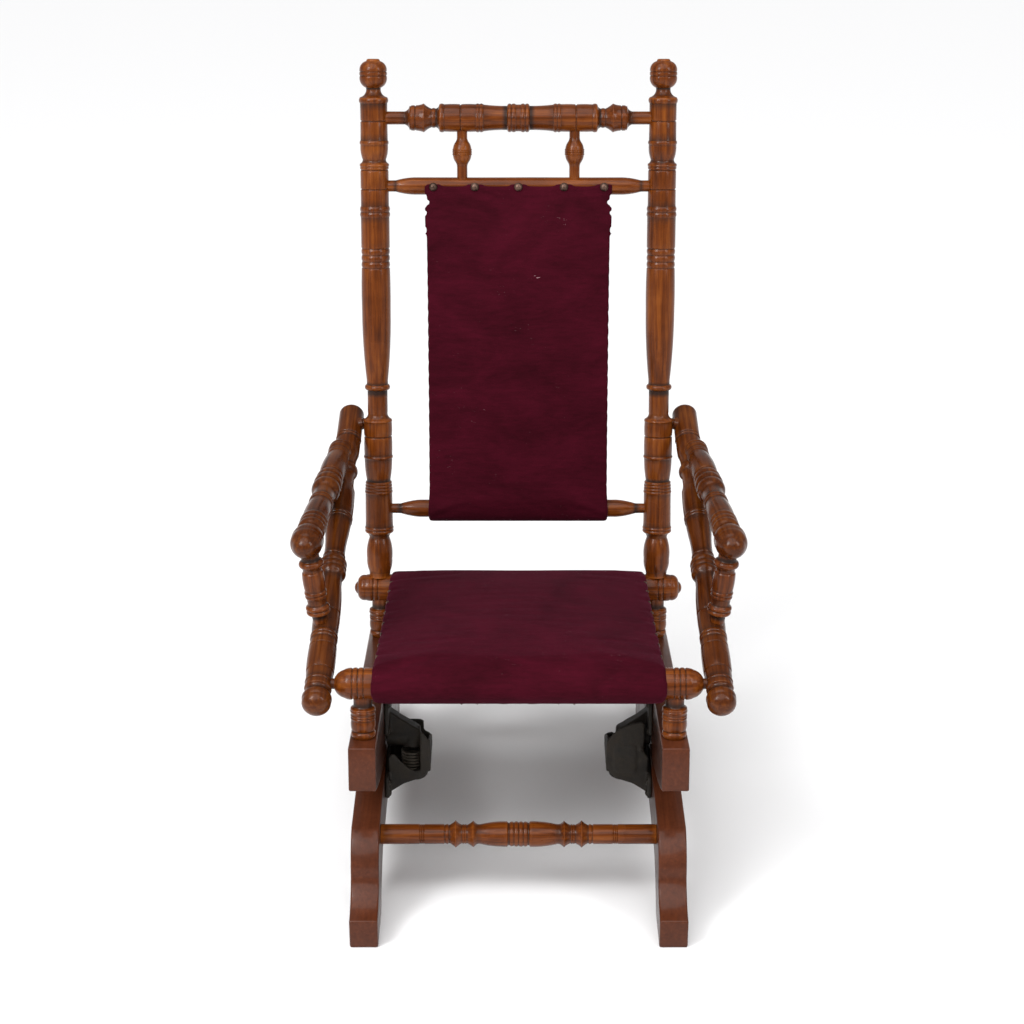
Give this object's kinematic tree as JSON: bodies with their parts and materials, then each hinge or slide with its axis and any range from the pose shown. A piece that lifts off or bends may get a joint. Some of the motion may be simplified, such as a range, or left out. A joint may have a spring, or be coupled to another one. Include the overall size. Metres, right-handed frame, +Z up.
{
  "type": "platform rocking chair",
  "caption": "Turned-wood platform rocking chair: curved rockers roll on a sprung fixed base, with a velvet seat, velvet back sling, slanted side braces and arm rests.",
  "frame": {"origin": "centre of the bounding box in plan, on the floor under the feet", "axes": "+Z up, the sitter faces -Y, +X is the sitter's left (the right-hand side of a front view)"},
  "size_m": [0.5961, 0.6832, 1.037],
  "materials": {
    "turned_wood": "warm red-brown stained hardwood under aged gloss varnish",
    "board_wood": "darker red-brown stained board wood, satin varnish, worn edges",
    "burgundy_velvet": "deep burgundy cotton velvet with a plum sheen at grazing angles",
    "plain_canvas": "plain undyed canvas, matte",
    "dark_iron": "dark brown-black cast iron, dull",
    "spring_steel": "darkened spring steel, dull",
    "screw_steel": "dull dark steel screw heads",
    "nail_brass": "antiqued dark brass, soft shine",
    "pad_leather": "thin dark brown leather"
  },
  "bodies": {
    "base": {"front_stretcher": "turned_wood", "left_base_board": "board_wood", "left_coil_spring": "spring_steel", "left_lower_casting": "dark_iron", "left_lower_screws": "screw_steel", "rear_stretcher": "turned_wood", "right_base_board": "board_wood", "right_coil_spring": "spring_steel", "right_lower_casting": "dark_iron", "right_lower_screws": "screw_steel"},
    "contact_pads": {"left_wear_pad": "pad_leather", "right_wear_pad": "pad_leather"},
    "upper_frame": {"back_cover": "burgundy_velvet", "back_lining": "plain_canvas", "back_nail_1": "nail_brass", "back_nail_2": "nail_brass", "back_nail_3": "nail_brass", "back_nail_4": "nail_brass", "back_nail_5": "nail_brass", "crest_rail": "turned_wood", "front_seat_rail": "turned_wood", "left_arm_rest": "turned_wood", "left_arm_support": "turned_wood", "left_back_post": "turned_wood", "left_front_leg": "turned_wood", "left_lower_dowel": "turned_wood", "left_rear_leg": "turned_wood", "left_rocker": "board_wood", "left_side_brace": "turned_wood", "left_side_rail": "turned_wood", "left_spindle": "turned_wood", "left_upper_casting": "dark_iron", "left_upper_dowel": "turned_wood", "left_upper_screws": "screw_steel", "lower_back_rail": "turned_wood", "rear_seat_rail": "turned_wood", "right_arm_rest": "turned_wood", "right_arm_support": "turned_wood", "right_back_post": "turned_wood", "right_front_leg": "turned_wood", "right_lower_dowel": "turned_wood", "right_rear_leg": "turned_wood", "right_rocker": "board_wood", "right_side_brace": "turned_wood", "right_side_rail": "turned_wood", "right_spindle": "turned_wood", "right_upper_casting": "dark_iron", "right_upper_dowel": "turned_wood", "right_upper_screws": "screw_steel", "seat_canvas": "plain_canvas", "seat_cover": "burgundy_velvet", "upper_back_rail": "turned_wood"}
  },
  "joints": [
    {"name": "roll", "type": "slide", "parent": "base", "child": "contact_pads", "axis": [0, 1, 0], "range_m": [-0.224, 0.0565]},
    {"name": "rock", "type": "hinge", "parent": "contact_pads", "child": "upper_frame", "pos_m": [0, 0.0554, 0.9336], "axis": [1, 0, 0], "range_deg": [-4, 16], "stiffness_Nm_per_rad": 150, "springref_deg": -0.77, "deforming": ["left_coil_spring", "right_coil_spring"]}
  ],
  "couplings": [
    {"joint": "roll", "follows": "rock", "m_per_rad": -0.8}
  ]
}
